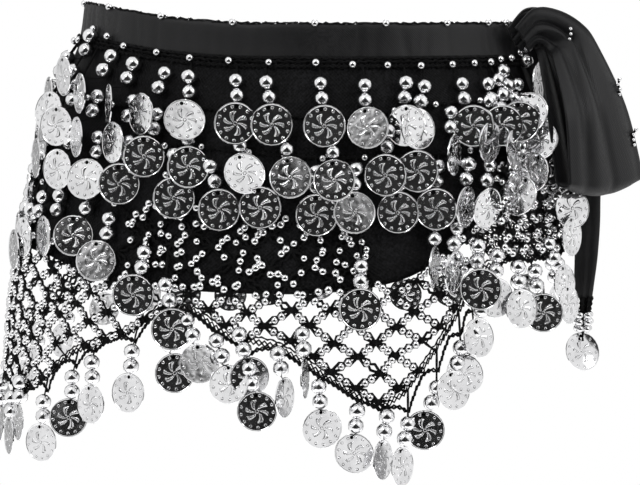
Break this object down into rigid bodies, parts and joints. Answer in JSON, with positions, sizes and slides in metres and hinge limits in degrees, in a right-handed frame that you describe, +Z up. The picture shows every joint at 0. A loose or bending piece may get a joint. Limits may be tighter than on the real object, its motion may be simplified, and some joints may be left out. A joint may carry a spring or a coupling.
{
  "type": "belly dance hip scarf",
  "caption": "Worn cloth hip scarf with rows of coin dangles, a beaded net hem with a coin fringe, and a half bow tied at one side.",
  "frame": {"origin": "middle of the waist ring, at half the height of the waistband, where the wearer's hips hold it", "axes": "+Z up, the front faces -Y, the tied knot is at +X"},
  "size_m": [0.4067, 0.2969, 0.2743],
  "materials": {
    "waistband_satin": "black satin, folded",
    "panel_satin": "black fine cloth, low sheen",
    "knot_satin": "black satin, soft sheen",
    "trim_crochet": "black crochet cord",
    "net_crochet": "black crochet cord with small silver beads",
    "row_silver": "stamped silver coins and polished beads",
    "fringe_silver": "stamped silver coins and polished beads"
  },
  "bodies": {
    "root": {"waist_band": "waistband_satin", "body_panel": "panel_satin", "top_trim": "trim_crochet", "coin_row_1": "row_silver", "coin_row_2": "row_silver", "coin_row_3": "row_silver", "coin_row_4_left": "row_silver", "coin_row_4_right": "row_silver", "net_front": "net_crochet", "net_back": "net_crochet", "hem_fringe_front": "fringe_silver", "hem_fringe_back": "fringe_silver", "knot": "knot_satin", "knot_loop": "knot_satin", "knot_tail": "knot_satin", "tail_tip": "fringe_silver"}
  },
  "joints": []
}
